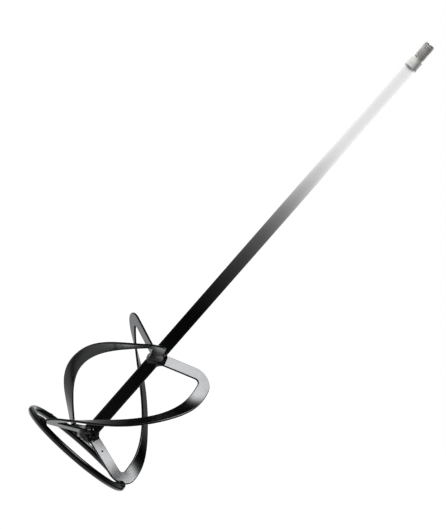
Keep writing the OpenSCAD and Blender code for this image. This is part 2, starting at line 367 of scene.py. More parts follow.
# ------------------------------------------------------------------ product materials
def surface_material(name):
    """A material's tree, with an output and an untouched principled shader."""
    material = bpy.data.materials.new(name)
    tree = empty_tree(material)
    output = node(tree, "ShaderNodeOutputMaterial")
    shader = node(tree, "ShaderNodeBsdfPrincipled")
    tree.links.new(shader.outputs[0], output.inputs[0])
    return material, tree, shader.inputs


def paint_material(name, rough, peel):
    """Black paint; `peel` is the strength of its orange peel."""
    material, tree, shader = surface_material(name)
    place = object_position(tree)
    cloud = noise_texture(tree, place, scale=38, detail=4, rough=0.55)    # slow change of film
    peel_noise = noise_texture(tree, place, scale=620, detail=2, rough=0.5)
    grain = noise_texture(tree, place, scale=2600, detail=2, rough=0.6)
    patches = noise_texture(tree, place, scale=240, detail=5, rough=0.7)

    # patchy lighter paint on the outer edges: partly wear, partly a painted highlight along them
    geometry = node(tree, "ShaderNodeNewGeometry")
    edge = remap(tree, geometry.outputs["Pointiness"], span=(0.53, 0.60))
    edge_wear_and_highlight = calc(tree, "MULTIPLY", edge, remap(tree, patches, span=(0.40, 0.66)))

    dark, light = (0.0012, 0.0013, 0.0014, 1), (0.0030, 0.0031, 0.0032, 1)
    # the lighter edge colour stands for worn paint and a painted edge highlight together
    edge_wear_and_highlight_color, edge_wear_and_highlight_share, worn_rough = (0.030, 0.030, 0.031, 1), 0.55, 0.10
    color = mix_color(tree, remap(tree, cloud, span=(0.3, 0.7)), dark, light)
    edge_wear_and_highlight_factor = calc(tree, "MULTIPLY", edge_wear_and_highlight, edge_wear_and_highlight_share)
    tree.links.new(mix_color(tree, edge_wear_and_highlight_factor, color, edge_wear_and_highlight_color), shader["Base Color"])

    roughness = remap(tree, cloud, span=(0.3, 0.7), to=(rough - 0.035, rough + 0.045))
    fine_rough = remap(tree, grain, span=(0.3, 0.7), to=(-0.02, 0.02))
    roughness = calc(tree, "ADD", roughness, fine_rough)
    roughness = calc(tree, "ADD", roughness, calc(tree, "MULTIPLY", edge_wear_and_highlight, worn_rough))
    tree.links.new(roughness, shader["Roughness"])
    shader["IOR"].default_value = 1.52
    shader["Coat Roughness"].default_value = 0.12    # shows only if a coat is switched on

    normal = bump(tree, peel_noise, strength=peel, distance_mm=0.12)
    normal = bump(tree, grain, strength=0.05, distance_mm=0.03, under=normal)
    tree.links.new(normal, shader["Normal"])
    return material


def steel_material(name):
    material, tree, shader = surface_material(name)
    place = object_position(tree)
    x, y, z = split(tree, place)
    squeeze = 0.08               # stretches the noise sideways into marks round the axis
    lathe_place = node(tree, "ShaderNodeCombineXYZ", {
        0: calc(tree, "MULTIPLY", x, squeeze), 1: calc(tree, "MULTIPLY", y, squeeze), 2: z})
    marks = noise_texture(tree, lathe_place.outputs[0], scale=5200, detail=2, rough=0.6)
    stain = noise_texture(tree, place, scale=130, detail=5, rough=0.6)

    clean, stained = (0.56, 0.56, 0.55, 1), (0.40, 0.385, 0.36, 1)
    color = mix_color(tree, remap(tree, stain, span=(0.35, 0.7)), clean, stained)
    tree.links.new(color, shader["Base Color"])
    shader["Metallic"].default_value = 1.0
    stain_rough = remap(tree, stain, span=(0.3, 0.7), to=(0.24, 0.38))
    mark_rough = remap(tree, marks, span=(0.3, 0.7), to=(-0.05, 0.05))
    tree.links.new(calc(tree, "ADD", stain_rough, mark_rough), shader["Roughness"])
    normal = bump(tree, marks, strength=0.25, distance_mm=0.02)
    tree.links.new(normal, shader["Normal"])
    return material


PAINT = paint_material("black_paint", rough=0.20, peel=0.04)
PAINT_WELD = paint_material("weld_paint", rough=0.17, peel=0.06)
PAINT_ROD = paint_material("rod_paint", rough=0.15, peel=0.04)
STEEL = steel_material("bare_steel")


# ------------------------------------------------------------------ blades
def blade_stations(arm_steps=16, bend_steps=30, mid_steps=150):
    """[(centre, travel, across, width)] from the lower hub to the upper one, and the
    index of the station just before the hole."""
    hole_start, hole_end = HOOK_AT - HOOK_PANEL, HOOK_AT + HOOK_PANEL
    spaced = np.linspace(BLADE_START, LOWER.straight, arm_steps, endpoint=False)
    places = sorted(set(np.round(np.concatenate([spaced, [hole_start, hole_end]]), 4)))
    places = [x for x in places if not (hole_start < x < hole_end)]
    stations = [(LOWER.hub + x*LOWER.along, LOWER.along, LOWER.across, BLADE_W) for x in places]
    for a in np.linspace(0, LOWER.turn, bend_steps, endpoint=False):
        stations.append((LOWER.bend_point(a), LOWER.bend_dir(a), LOWER.bend_across(a), BLADE_W))
    for q in np.linspace(0, 1, mid_steps, endpoint=False):
        k = min(1, min(q, 1-q)/0.25)                 # narrows over the first and last quarter
        width = BLADE_W + (BLADE_MID_W - BLADE_W)*k*k*(3 - 2*k)
        stations.append((MID.point(q), MID.travel(q), MID.across(q), width))
    for a in np.linspace(UPPER.turn, 0, bend_steps, endpoint=False):
        stations.append((UPPER.bend_point(a), -UPPER.bend_dir(a), UPPER.bend_across(a), BLADE_W))
    for x in np.linspace(UPPER.straight, BLADE_START, arm_steps):
        stations.append((UPPER.hub + x*UPPER.along, -UPPER.along, UPPER.across, BLADE_W))
    return stations, places.index(round(hole_start, 4))


def bar_section(width, panel=2.2, steps=6):
    """Counter-clockwise rounded section [(x, y, tangent x, tangent y)], and the indices of
    the panels in the middle of its two broad faces."""
    section = []
    x, y, top = width/2 - EDGE_R, BLADE_T/2 - EDGE_R, BLADE_T/2

    def arc(centre_x, centre_y, start):
        for k in range(steps + 1):
            a = start + math.pi/2*k/steps
            section.append((centre_x + EDGE_R*math.cos(a), centre_y + EDGE_R*math.sin(a),
                            -math.sin(a), math.cos(a)))

    arc(x, y, 0.0)
    upper = len(section)
    section += [(panel, top, -1, 0), (-panel, top, -1, 0)]
    arc(-x, y, math.pi/2)
    arc(-x, -y, math.pi)
    lower = len(section)
    section += [(-panel, -top, 1, 0), (panel, -top, 1, 0)]
    arc(x, -y, 3*math.pi/2)
    return section, upper, lower


def cut_hook_hole(verts, normals, faces, before, after, top_panel, bottom_panel):
    """Lines the hole with a small rounded rim and joins it to the two open panels."""
    segments = 24
    centre = (before[0] + after[0])/2
    along, across = before[1], before[2]
    normal = np.cross(along, across)
    radius, rim, half = HOOK_D/2, 0.22, BLADE_T/2
    # radius, height, share of the blade's normal in the shading normal
    profile = [(radius + rim, half, 1.0), (radius + rim*0.3, half - rim*0.3, 0.5),
               (radius, half - rim, 0.0), (radius, -half + rim, 0.0),
               (radius + rim*0.3, -half + rim*0.3, -0.5), (radius + rim, -half, -1.0)]
    rings = []
    for r, height, share in profile:
        rings.append(list(range(len(verts), len(verts) + segments)))
        for s in range(segments):
            angle = TAU*s/segments
            out = math.cos(angle)*along + math.sin(angle)*across
            verts.append(centre + r*out + height*normal)
            normals.append(share*normal - (1 - abs(share))*out)
    for a, b in zip(rings, rings[1:]):
        for s in range(segments):
            s2 = (s+1) % segments
            faces.append((b[s], b[s2], a[s2], a[s]))

    for ring, panel, order in ((rings[0], top_panel, -1), (rings[-1], bottom_panel, 1)):
        corners = []
        for index in panel:
            offset = verts[index] - centre
            corners.append((math.atan2(offset @ across, offset @ along) % TAU, index))
        corners.sort()

        def nearest(s):
            """The corner that serves rim segment s."""
            middle = TAU*(s + 0.5)/segments
            return min(range(4), key=lambda c: abs(
                (middle - corners[c][0] + math.pi) % TAU - math.pi))

        for s in range(segments):
            s2 = (s+1) % segments
            near, following = nearest(s), nearest(s2)
            corner = corners[near][1]
            faces.append((ring[s], corner, ring[s2])[::order])
            if near != following:
                faces.append((ring[s2], corner, corners[following][1])[::order])


def weld_vertices(verts, faces, normals):
    """Makes one vertex where several meet, so that the skin is closed."""
    keys = np.round(verts*1e4).astype(np.int64)
    _, first, to = np.unique(keys, axis=0, return_index=True, return_inverse=True)
    to = to.ravel()
    mean = np.zeros((len(first), 3))
    np.add.at(mean, to, normals)
    faces = [tuple(dict.fromkeys(int(to[k]) for k in f)) for f in faces]
    return verts[first], [f for f in faces if len(f) > 2], unit(mean)


def fix_winding(verts, faces, normals):
    """Turns each face to agree with its vertices' normals."""
    fixed = []
    for f in faces:
        p = verts[list(f)]
        facing = np.zeros(3)
        for k in range(len(f)):
            facing += np.cross(p[k] - p[0], p[(k+1) % len(f)] - p[0])
        agrees = facing @ normals[list(f)].sum(0) >= 0
        fixed.append(f if agrees else tuple(reversed(f)))
    return fixed


def blade_mesh(i):
    stations, hole = blade_stations()
    rows = len(stations)
    steps = [np.linalg.norm(b[0] - a[0]) for a, b in zip(stations, stations[1:])]
    points, tangents = [], []
    for (centre, travel, across, width), s in zip(stations, np.cumsum([0] + steps)):
        normal = np.cross(travel, across)
        # the edges are a little uneven: slow change of width, quicker sideways drift
        widening = 0.10*noise.noise(Vector((s*0.045, 7.3*i, 0.5)))
        drift = 0.07*noise.noise(Vector((s*0.11, 3.1 + i, 1.5)))
        section, upper, lower = bar_section(width + widening)
        for x, y, tangent_x, tangent_y in section:
            points.append(centre + (x + drift)*across + y*normal)
            tangents.append(tangent_x*across + tangent_y*normal)
    n = len(section)
    points = np.array(points).reshape(rows, n, 3)
    lengthwise = np.gradient(points, axis=0).reshape(-1, 3)
    verts = list(points.reshape(-1, 3))
    normals = list(unit(np.cross(np.array(tangents), lengthwise)))

    def cell(j, k):
        k2 = (k+1) % n
        return (j*n + k, j*n + k2, (j+1)*n + k2, (j+1)*n + k)

    faces = [cell(j, k) for j in range(rows - 1) for k in range(n)
             if not (j == hole and k in (upper, lower))]
    # flat ends, buried in the welds
    for j, sign in ((0, -1), (rows - 1, 1)):
        end = tuple(range(len(verts), len(verts) + n))
        verts += list(points[j])
        normals += [stations[j][1]*sign]*n
        faces.append(end[::sign])
    cut_hook_hole(verts, normals, faces, stations[hole], stations[hole + 1],
                  cell(hole, upper), cell(hole, lower))
    azimuth = math.radians(120*i)
    verts, normals = turn_z(np.array(verts), azimuth), turn_z(np.array(normals), azimuth)
    verts, faces, normals = weld_vertices(verts, faces, normals)
    return verts, fix_winding(verts, faces, normals), normals


def build_blades():
    for i in range(3):
        verts, faces, normals = blade_mesh(i)
        add_piece(f"blade_bar_{i+1}", verts, faces, PAINT,
                  (f"mixing_blade_{i+1}",), normals=normals)


# ------------------------------------------------------------------ shaft, steel end, ring
def shaft_radius(angle, r, z):
    """Faint waviness on the outside of the pipe."""
    if r < SHAFT_R - 0.7:
        return r
    return r + 0.03*noise.noise(Vector((math.cos(angle)*0.7, math.sin(angle)*0.7, z*0.012)))


def build_shaft():
    segments = 128
    # radius, height: up the outside from inside the foot, and back into the top
    profile = [(BORE_R, FOOT_Z + 8.0), (BORE_R, FOOT_Z + 0.5), (BORE_R + 0.35, FOOT_Z),
               (SHAFT_R - 0.6, FOOT_Z), (SHAFT_R - 0.18, FOOT_Z + 0.15)]
    profile += [(SHAFT_R, z) for z in np.linspace(FOOT_Z + 0.6, TUBE_TOP - 0.6, 90)]
    profile += [(SHAFT_R - 0.18, TUBE_TOP - 0.15), (SHAFT_R - 0.6, TUBE_TOP),
                (BORE_R, TUBE_TOP), (BORE_R, TUBE_TOP - 8.0)]
    verts, faces = lathe(profile, segments, shaft_radius)
    last = len(verts) - segments
    for k in range(segments):                        # bore wall
        k2 = (k+1) % segments
        faces.append((last + k, last + k2, k2, k))
    add_piece("shaft_pipe", verts, faces, PAINT,
              ("shaft_tube", "lower_end_plug"), sharp=28)


def spigot_radius(angle, r, z):
    """Cuts two flats, facing +X and -X, over a height a hair longer than theirs."""
    if TUBE_TOP + 2.49 < z < THREAD_Z - 1.49 and r > FLATS/2:
        return min(r, FLATS/2/max(abs(math.cos(angle)), 1e-6))
    return r


def thread_radius(angle, z):
    """Right-handed thread with flanks of 60 degrees, run out at both ends."""
    phase = ((z - THREAD_Z)/THREAD_PITCH - angle/TAU) % 1.0
    off_crest = abs(phase - 0.5)*THREAD_PITCH
    depth = np.clip((off_crest - THREAD_PITCH/16)*math.tan(math.radians(60)),
                    0, 0.6134*THREAD_PITCH)
    core = THREAD_R - 1.3
    taper_z = TIP_Z - 3.2
    if z < THREAD_Z + 1.5:
        limit = core
    elif z < THREAD_Z + 2.8:
        limit = core + (z - THREAD_Z - 1.5)
    elif z > taper_z:
        limit = THREAD_R - 0.4*(z - taper_z)
    else:
        limit = THREAD_R
    return min(THREAD_R - depth, limit)


def build_spindle_end():
    segments, thread_rows = 144, 221
    flat_lo, flat_hi = TUBE_TOP + 2.5, THREAD_Z - 1.5
    shoulder = [TUBE_TOP + 0.6, TUBE_TOP + 1.6, flat_lo - 0.01, flat_lo, flat_lo + 0.05,
                (flat_lo + flat_hi)/2, flat_hi - 0.05, flat_hi, flat_hi + 0.01, THREAD_Z - 0.9]
    # radius, height: plug inside the pipe, shoulder with flats, foot of the thread
    profile = [(0, TUBE_TOP - 30), (4.0, TUBE_TOP - 30), (4.95, TUBE_TOP - 29),
               (4.95, TUBE_TOP), (SHAFT_R - 0.6, TUBE_TOP)]
    profile += [(SHAFT_R, z) for z in shoulder]
    profile += [(SHAFT_R - 0.33, THREAD_Z), (THREAD_R - 1.3, THREAD_Z)]
    verts, faces = lathe(profile, segments, spigot_radius)
    first = len(verts) - segments
    thread = []
    for z in np.linspace(THREAD_Z, TIP_Z, thread_rows)[1:]:
        for k in range(segments):
            angle = TAU*k/segments
            r = thread_radius(angle, z)
            thread.append((r*math.cos(angle), r*math.sin(angle), z))
    verts = np.vstack([verts, np.array(thread), [[0, 0, TIP_Z]]])
    for j in range(thread_rows - 1):
        low = first + segments*j
        high = low + segments
        for k in range(segments):
            k2 = (k+1) % segments
            faces.append((low + k, low + k2, high + k2, high + k))
    tip = len(verts) - 1
    for k in range(segments):
        faces.append((tip - segments + k, tip - segments + (k+1) % segments, tip))
    add_piece("spindle_end", verts, faces, STEEL, ("threaded_spigot",), sharp=32)


def build_ring():
    verts, faces = torus(RING_R, ROD_R, steps_round=288, steps_across=40,
                         tube_radius=lambda a, b: ROD_R)
    add_piece("ring_rod", verts, faces, PAINT_ROD, ("bottom_ring",), sharp=60)


# ------------------------------------------------------------------ distance fields
def smooth_min(a, b, reach):
    h = np.maximum(reach - np.abs(a - b), 0) / reach
    return np.minimum(a, b) - h*h*reach/4


def wave_directions(count=14):
    """[(direction, phase)], spread in a spiral over the sphere."""
    waves = []
    for i in range(count):
        z = 1 - 2*(i + 0.5)/count
        r = math.sqrt(1 - z**2)
        direction = np.array([math.cos(2.4*i)*r, math.sin(2.4*i)*r, z])
        waves.append((direction, 1.7*i))
    return waves


WAVES = wave_directions()


def lumps(p, wave_mm, seed):
    """Cheap smooth noise, about -1..1, from a fixed set of waves."""
    total = 0
    for i, (direction, phase) in enumerate(WAVES):
        frequency = (TAU/wave_mm) * (0.75 + 0.5*((i*7) % 5)/5)
        total = total + np.sin((p @ direction) * frequency + phase + seed*(1.3 + 0.37*i))
    return total / 4.2


def chain_field(p, centres, radii, blend=0.28):
    """Row of balls melted into one bead."""
    total = np.zeros(p.shape[:-1])
    for centre, radius in zip(centres, radii):
        d = np.sqrt(((p - centre)**2).sum(-1)) - radius
        total += np.exp(-np.clip(d, -6, 14)/blend)
    return -blend*np.log(total)


def box_field(x, y):
    """Distance to a quarter plane from the distances to its two sides."""
    return np.hypot(np.maximum(x, 0), np.maximum(y, 0)) + np.minimum(np.maximum(x, y), 0)


def bar_field(across, normal):
    """Distance to an endless blade bar."""
    return box_field(np.abs(across) - (BLADE_W/2 - EDGE_R),
                     np.abs(normal) - (BLADE_T/2 - EDGE_R)) - EDGE_R


def corner_field(p):
    """Distance to the lower bend of the blade at azimuth 0."""
    q = p - LOWER.centre
    along, across = q @ LOWER.along, q @ LOWER.across
    normal = q @ np.cross(LOWER.along, LOWER.across)
    angle = np.arctan2(along, -across)               # 0 where the bend starts
    in_bend = np.abs(np.hypot(along, across) - BEND_R)
    off_arm = np.where(along < 0, np.abs(across + BEND_R), 99)
    past_exit = p - LOWER.exit
    off_exit = np.where(past_exit @ LOWER.exit_dir > 0,
                        np.abs(past_exit @ LOWER.bend_across(LOWER.turn)), 99)
    sideways = np.where((angle >= 0) & (angle <= LOWER.turn), in_bend,
                        np.minimum(off_arm, off_exit))
    return bar_field(sideways, normal)


# ------------------------------------------------------------------ meshing a field
CELL = 0.34                                          # grid size for the welds
CORNERS = [(i, j, k) for i in (0, 1) for j in (0, 1) for k in (0, 1)]


def shared_cells():
    """For each of the 256 ways a cell's corners can be in or out: would more than one
    sheet of surface cross it?"""
    neighbours = [[a ^ 1, a ^ 2, a ^ 4] for a in range(8)]
    shared = np.zeros(256, bool)
    for code in range(256):
        for side in (0, 1):
            left = {a for a in range(8) if (code >> a & 1) == side}
            if not left:
                continue
            todo = [left.pop()]
            while todo:
                for b in neighbours[todo.pop()]:
                    if b in left:
                        left.remove(b)
                        todo.append(b)
            shared[code] |= bool(left)
    return shared


SHARED = shared_cells()


def corner_view(values, corner):
    """The part of a grid that holds one given corner of every cell."""
    return values[tuple(slice(c, size - 1 + c) for c, size in zip(corner, values.shape))]


def sample_field(field, low, high):
    """Field values on a grid over the box, forced to be outside on its border."""
    counts = [int(math.ceil((b - a)/CELL)) + 1 for a, b in zip(low, high)]
    axes = [np.arange(count)*CELL + start for count, start in zip(counts, low)]
    grid = np.stack(np.meshgrid(*axes, indexing="ij"), -1)
    values = field(grid.reshape(-1, 3)).reshape(counts)
    for axis in range(3):
        layers = np.moveaxis(values, axis, 0)
        layers[0] = 9
        layers[-1] = 9
    return values


def fill_shared_cells(values):
    for _ in range(12):
        code = sum((corner_view(values, c) < 0).astype(np.int64) << bit
                   for bit, c in enumerate(CORNERS))
        bad = SHARED[code]
        if not bad.any():
            break
        for c in CORNERS:
            part = corner_view(values, c)
            part[bad & (part >= 0)] = -0.02*CELL


def cell_crossings(values):
    """Sum and count of the points where the surface cuts each cell's edges."""
    cells = [size - 1 for size in values.shape]
    total, count = np.zeros(cells + [3]), np.zeros(cells)
    for a in CORNERS:
        for b in CORNERS:
            if sum(abs(x - y) for x, y in zip(a, b)) != 1 or a > b:
                continue
            value_a, value_b = corner_view(values, a), corner_view(values, b)
            cut = (value_a < 0) != (value_b < 0)
            t = np.where(cut, value_a/np.where(cut, value_a - value_b, 1), 0)
            for d in range(3):
                total[..., d] += np.where(cut, a[d] + t*(b[d] - a[d]), 0)
            count += cut
    return total, count


def net_faces(inside, index):
    """One quad round every grid edge that the surface cuts."""
    faces = []
    for d in range(3):
        e1, e2 = (d + 1) % 3, (d + 2) % 3
        start = [slice(1, size - 1) for size in inside.shape]
        end = list(start)
        start[d] = slice(0, inside.shape[d] - 1)
        end[d] = slice(1, inside.shape[d])
        start_in, end_in = inside[tuple(start)], inside[tuple(end)]
        for flip, cut in ((False, start_in & ~end_in), (True, ~start_in & end_in)):
            edges = np.argwhere(cut)
            edges[:, e1] += 1
            edges[:, e2] += 1
            sides = []
            for step1, step2 in ((-1, -1), (0, -1), (0, 0), (-1, 0)):
                c = edges.copy()
                c[:, e1] += step1
                c[:, e2] += step2
                sides.append(index[c[:, 0], c[:, 1], c[:, 2]])
            quads = np.stack(sides, 1)
            faces.append(quads[:, ::-1] if flip else quads)
    return np.vstack(faces)


def largest_body(count, faces):
    """Mask of the vertices of the biggest connected body; drops crumbs and hollows."""
    part = np.arange(count)
    pairs = np.vstack([faces[:, [0, 1]], faces[:, [1, 2]], faces[:, [2, 3]]])
    while True:
        old = part.copy()
        np.minimum.at(part, pairs[:, 0], old[pairs[:, 1]])
        np.minimum.at(part, pairs[:, 1], old[pairs[:, 0]])
        part = part[part]
        if (part == old).all():
            return part == np.bincount(part).argmax()


def settle(field, verts):
    """Moves the points onto the exact surface, in two short steps."""
    probe = 0.02
    for _ in range(2):
        value = field(verts)
        gradient = np.stack([field(verts + probe*axis) - field(verts - probe*axis)
                             for axis in np.eye(3)], 1)/(2*probe)
        steepness = np.maximum((gradient**2).sum(1), 0.25)
        step = -(value/steepness)[:, None]*gradient
        length = np.linalg.norm(step, axis=1, keepdims=True)
        verts = verts + step*np.minimum(1, 0.22*CELL/np.maximum(length, 1e-9))
    return verts


def surface_nets(field, low, high):
    """Closed mesh of field = 0 inside the box low..high."""
    values = sample_field(field, low, high)
    fill_shared_cells(values)
    total, count = cell_crossings(values)
    active = count > 0
    index = np.full(active.shape, -1)
    index[active] = np.arange(active.sum())
    cells = np.argwhere(active)
    verts = (cells + total[active]/count[active][:, None])*CELL + np.array(low)
    faces = net_faces(values < 0, index)
    keep = largest_body(len(verts), faces)
    renumbered = np.cumsum(keep) - 1
    faces = renumbered[faces[keep[faces[:, 0]]]]
    middles = (cells[keep] + 0.5)*CELL + np.array(low)
    verts = settle(field, verts[keep])
    edges = np.vstack([faces[:, [k, (k + 1) % 4]] for k in range(4)])
    for _ in range(4):                               # part the few points that all but meet
        gaps = np.linalg.norm(verts[edges[:, 0]] - verts[edges[:, 1]], axis=1)
        near = np.unique(edges[gaps < 0.06*CELL])
        if not len(near):
            break
        verts[near] += 0.2*(middles[near] - verts[near])
    return verts, faces


# ------------------------------------------------------------------ arm and ring welds
def resample(path, step, closed):
    """Evenly spaced points on a path, and their distances along it."""
    p = np.asarray(path)
    if closed:
        p = np.vstack([p, p[:1]])
    s = np.concatenate([[0], np.cumsum(np.linalg.norm(np.diff(p, axis=0), axis=1))])
    count = max(2, int(round(s[-1]/step)))
    t = np.linspace(0, s[-1], count, endpoint=not closed)
    return np.stack([np.interp(t, s, p[:, d]) for d in range(3)], 1), t


def root_outline(clearance):
    """Closed outline (across, normal) at a clearance round the blade's section."""
    half_w, half_t, radius = BLADE_W/2 + clearance, BLADE_T/2 + clearance, 0.5 + clearance
    corners = []
    for quarter, (sign_y, sign_z) in enumerate(((1, 1), (-1, 1), (-1, -1), (1, -1))):
        for k in range(7):
            a = math.radians(90*quarter + 15*k)
            corners.append((sign_y*(half_w - radius) + radius*math.cos(a),
                            sign_z*(half_t - radius) + radius*math.sin(a)))
    outline = []
    for (y0, z0), (y1, z1) in zip(corners, corners[1:] + corners[:1]):
        count = max(1, int(math.hypot(y1 - y0, z1 - z0)/0.4))
        outline += [(y0 + (y1 - y0)*k/count, z0 + (z1 - z0)*k/count) for k in range(count)]
    return outline


def root_weld(name, arm, azimuth, seed, replaced, leg, bead, rough):
    """Fillet all round an arm's root, with a rippled crown.

    leg: reach of the fillet; bead: thickness of the crown; rough: unevenness."""
    along, across = arm.along, arm.across
    normal = np.cross(along, across)
    clearance = 0.5                                  # crown line off the bar and the shaft
    path = []
    flat2 = along[0]**2 + along[1]**2
    for y, z in root_outline(clearance):             # meet a cylinder round the shaft
        offset = y*across[:2] + z*normal[:2]
        dot = along[:2] @ offset
        inside = dot*dot - flat2*(offset @ offset - (SHAFT_R + clearance)**2)
        x = (-dot + math.sqrt(max(0, inside)))/flat2
        path.append(arm.hub + x*along + y*across + z*normal)
    centres, s = resample(path, 1.25, closed=True)
    # uneven thickness and wander along the run
    radii = (1.5*bead + 0.16*np.sin(s*0.55 + seed*2.1) + 0.10*np.sin(s*1.31 + seed*4.7)
             + 0.05*np.sin(np.arange(len(s))*2.3 + seed))
    centres = centres + 0.10*np.stack([np.sin(s*0.9 + seed), np.cos(s*0.7 + 2*seed),
                                       np.sin(s*0.6 + 3*seed)], 1)
    root = arm.hub + SHAFT_R*along/math.hypot(along[0], along[1])

    def field(p):
        q = p - arm.hub
        shaft = box_field(np.hypot(p[:, 0], p[:, 1]) - SHAFT_R, FOOT_Z + 0.3 - p[:, 2])
        bar = np.maximum(bar_field(q @ across, q @ normal), 2.5 - q @ along)
        reach = leg + 0.7*rough*lumps(p, 9.0, seed)
        f = smooth_min(shaft + 0.25, bar + 0.25, reach)
        f = smooth_min(f, chain_field(p, centres, radii), 0.7)
        proud = np.clip((np.minimum(shaft, bar) + 0.2)/0.6, 0, 1)
        f = f - 0.05*rough*lumps(p, 3.1, seed + 5)*proud
        f = np.maximum(f, -(shaft + 1.5))            # hollow inside the pipe wall
        return np.maximum(f, np.sqrt(((p - root)**2).sum(-1)) - 12.5)

    verts, faces = surface_nets(field, root - 13.2, root + 13.2)
    add_weld(name, turn_z(verts, azimuth), faces, replaced)


# ring weld's run under a blade's corner: azimuth (degrees), radius, height, bead radius
RING_RUN = [(-15, 65.6, 6.6, 0.7), (-12, 65.4, 7.1, 1.3), (-4, 64.8, 8.0, 2.4),
            (4, 66.6, 8.4, 2.5), (12, 67.6, 7.4, 1.4), (15, 67.8, 6.9, 0.7)]


def ring_weld(name, azimuth, seed, replaced, span, shift):
    """Weld that follows the crown of the ring; span and shift change its run's azimuths."""
    keys = np.array(RING_RUN, float)
    keys[:, 0] = keys[:, 0]*span + shift
    x = keys[:, 0]
    count = 200
    degrees = np.linspace(x[0], x[-1], count)

    def curve(column):
        y = keys[:, column]
        slopes = np.gradient(y, x)
        values = []
        for at in degrees:
            k = min(len(x) - 2, max(0, int(np.searchsorted(x, at)) - 1))
            gap = x[k+1] - x[k]
            values.append(hermite((at - x[k])/gap, y[k], y[k+1], slopes[k]*gap, slopes[k+1]*gap))
        return np.array(values)

    radius, height, thickness = curve(1), curve(2), curve(3)
    angles = np.radians(degrees)
    path = np.stack([radius*np.cos(angles), radius*np.sin(angles), height], 1)
    centres, s = resample(path, 1.35, closed=False)
    # uneven thickness and wander along the run
    radii = (np.interp(s, np.linspace(0, s[-1], count), thickness)
             * (1 + 0.06*np.sin(s*0.8 + seed*3) + 0.04*np.sin(s*1.7 + seed))
             + 0.06*np.sin(np.arange(len(s))*2.1 + seed))
    centres = centres + np.stack([0.25*np.sin(s*0.5 + seed), 0*s,
                                  0.15*np.sin(s*0.7 + 2*seed)], 1)

    def field(p):
        rod = np.hypot(np.hypot(p[:, 0], p[:, 1]) - RING_R, p[:, 2] - ROD_R) - ROD_R
        bar = corner_field(p)
        chain = chain_field(p, centres, radii, blend=0.35)
        f = smooth_min(chain, rod + 0.2, 2.2)
        f = smooth_min(f, bar + 0.2, 2.2)
        proud = np.clip((np.minimum(rod, bar) + 0.2)/0.6, 0, 1)
        f = f - 0.06*lumps(p, 2.8, seed + 3)*proud
        f = np.maximum(f, chain - 1.6)
        return np.maximum(f, 2.2 - p[:, 2])

    verts, faces = surface_nets(field, centres.min(0) - 5.0, centres.max(0) + 5.0)
    add_weld(name, turn_z(verts, azimuth), faces, replaced)


# one entry per blade
# the second blade's lower weld reaches further (leg 9.0) partly as painted shade: its dark body
# covers part of the arm's face where shade falls
LOWER_ROOTS = [dict(leg=6.4, bead=1.0, rough=1.0), dict(leg=9.0, bead=1.0, rough=1.0),
               dict(leg=7.6, bead=1.0, rough=1.0)]
UPPER_ROOTS = [dict(leg=7.6, bead=0.74, rough=1.0), dict(leg=10.2, bead=0.35, rough=0.25),
               dict(leg=7.6, bead=0.74, rough=1.0)]
RING_TACKS = [dict(span=1.0, shift=0.0), dict(span=0.85, shift=1.0),
              dict(span=0.72, shift=-2.5)]


def build_blade_welds():
    for i in range(3):
        azimuth = math.radians(120*i)
        root_weld(f"lower_root_weld_{i+1}", LOWER, azimuth, 1.0 + i,
                  f"lower_arm_weld_{i+1}", **LOWER_ROOTS[i])
        root_weld(f"upper_root_weld_{i+1}", UPPER, azimuth, 4.0 + i,
                  f"upper_arm_weld_{i+1}", **UPPER_ROOTS[i])
        ring_weld(f"ring_tack_{i+1}", azimuth, 7.0 + i, f"ring_weld_{i+1}", **RING_TACKS[i])


# ------------------------------------------------------------------ small beads
def ripple(along, across, count):
    """Scalloped ripples, 0..1: count along the run, leaning back towards the toes."""
    phase = along*count/TAU + 0.35*(1 - math.cos(across))
    return abs(math.sin(math.pi*phase))


def spigot_bead_radius(a, b):
    return 1.22*(1 + 0.05*math.sin(3*a + 0.7) + 0.03*math.sin(7*a)) - 0.13*ripple(a, b, 34)


def build_spigot_bead():
    verts, faces = torus(SHAFT_R - 0.72, TUBE_TOP + 0.2, steps_round=340, steps_across=28,
                         tube_radius=spigot_bead_radius)
    add_weld("spigot_bead", verts, faces, "spigot_weld")


def build_ring_butt_bead():
    """Bead round the rod; it is low and smooth on the underside, where the ring stands."""
    azimuth = math.radians(150)
    steps_round, steps_across = 168, 20
    low, full = 0.75, 1.22
    outward, side = radial(azimuth), tangential(azimuth)
    rod_centre = RING_R*outward + np.array([0, 0, ROD_R])
    verts = []
    for j in range(steps_round):
        a = TAU*j/steps_round
        out = outward*math.cos(a) + np.array([0, 0, 1.0])*math.sin(a)
        centre = rod_centre + out*(ROD_R - 0.75)
        rise = math.sin(a) + 0.75
        size = low if rise < 0 else low + (full - low)*min(1, rise/0.5)
        for k in range(steps_across):
            b = TAU*k/steps_across
            r = size*(1 + 0.05*math.sin(2*a)) - 0.10*ripple(a, b, 17)*(size > 0.9)
            verts.append(centre + out*r*math.cos(b) + side*1.9*r*math.sin(b))
    add_weld("ring_butt_bead", np.array(verts), closed_grid_faces(steps_round, steps_across),
             "ring_butt_weld")


def build_end_seal_bead():
    """Shallow dome that closes the shaft's foot, with a spiral ripple."""
    radius = SHAFT_R - 2.1
    profile = [(0, FOOT_Z - 1.12)]
    for degrees in range(4, 91, 4):
        a = math.radians(degrees)
        profile.append((radius*math.sin(a), FOOT_Z + 0.35 - 1.45*math.cos(a)))
    profile += [(radius, FOOT_Z + 2.4), (0, FOOT_Z + 2.4)]
    verts, faces = lathe(profile, 96)
    dome = verts[:, 2] < FOOT_Z + 0.5
    x, y = verts[dome, 0], verts[dome, 1]
    verts[dome, 2] += 0.10*np.sin(np.hypot(x, y)*4.6 + np.arctan2(y, x))
    add_weld("end_seal_bead", verts, faces, "end_plug_weld", sharp=50)


